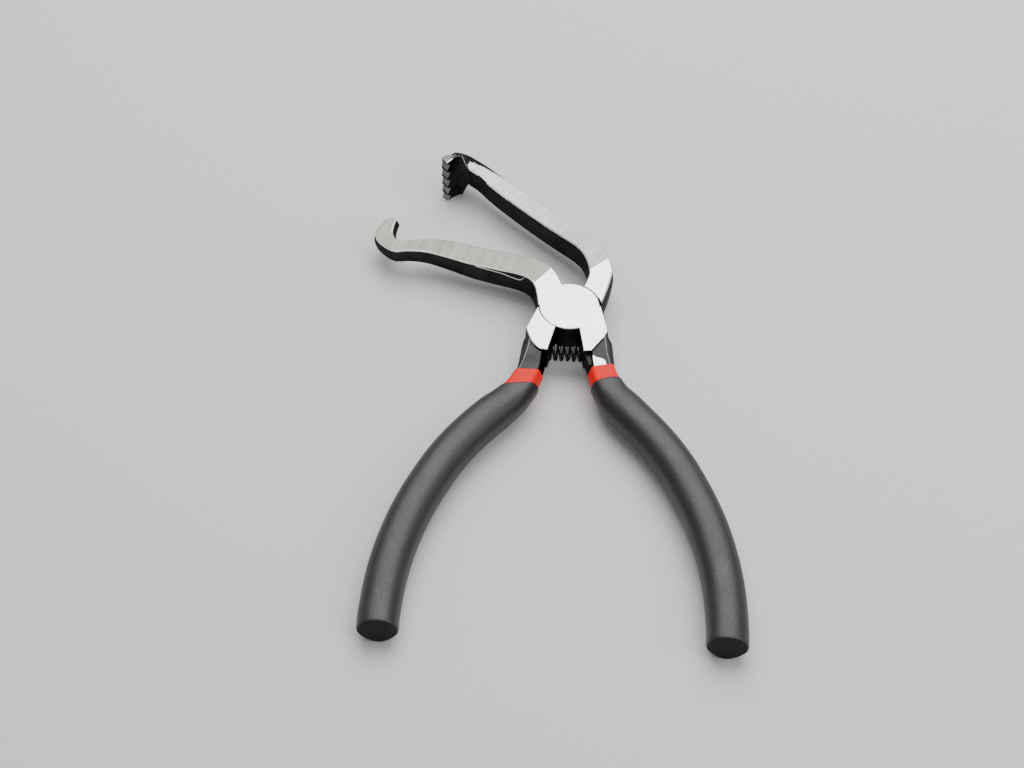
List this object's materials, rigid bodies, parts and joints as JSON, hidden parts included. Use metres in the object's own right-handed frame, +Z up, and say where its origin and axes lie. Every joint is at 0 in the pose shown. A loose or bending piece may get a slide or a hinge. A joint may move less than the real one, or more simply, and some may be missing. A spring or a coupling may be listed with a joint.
{
  "type": "pliers",
  "caption": "Spring-opening hand pliers with jaws offset to one side: a slim hook jaw faces a wide serrated hook plate; lap joint, curved dipped grips.",
  "frame": {"origin": "pivot axis where it meets the flat underside of the lap joint", "axes": "+Z up along the pivot axis; +Y towards the jaws, -Y towards the handles; the jaws lean to -X; free, open pose"},
  "size_m": [0.1331, 0.2105, 0.02],
  "materials": {
    "lever_steel": "faces ground flat and bright, drafted forged sides left dark",
    "rivet_steel": "ground flush with the joint",
    "spring_steel": "dark oiled wire",
    "red_coat": "smooth dipped coat",
    "black_grip": "fine-textured matte dipped coat"
  },
  "bodies": {
    "toothed_lever": {"toothed_jaw_lever": "lever_steel", "pivot_rivet": "rivet_steel", "return_spring": "spring_steel", "red_coat_left": "red_coat", "black_grip_left": "black_grip"},
    "hook_lever": {"hook_jaw_lever": "lever_steel", "red_coat_right": "red_coat", "black_grip_right": "black_grip"}
  },
  "joints": [
    {"name": "pivot", "type": "hinge", "parent": "toothed_lever", "child": "hook_lever", "pos_m": [0, 0, 0.005], "axis": [0, 0, -1], "range_deg": [0, 21.5], "stiffness_Nm_per_rad": 0.7, "springref_deg": -5.73, "deforming": ["return_spring"]}
  ]
}
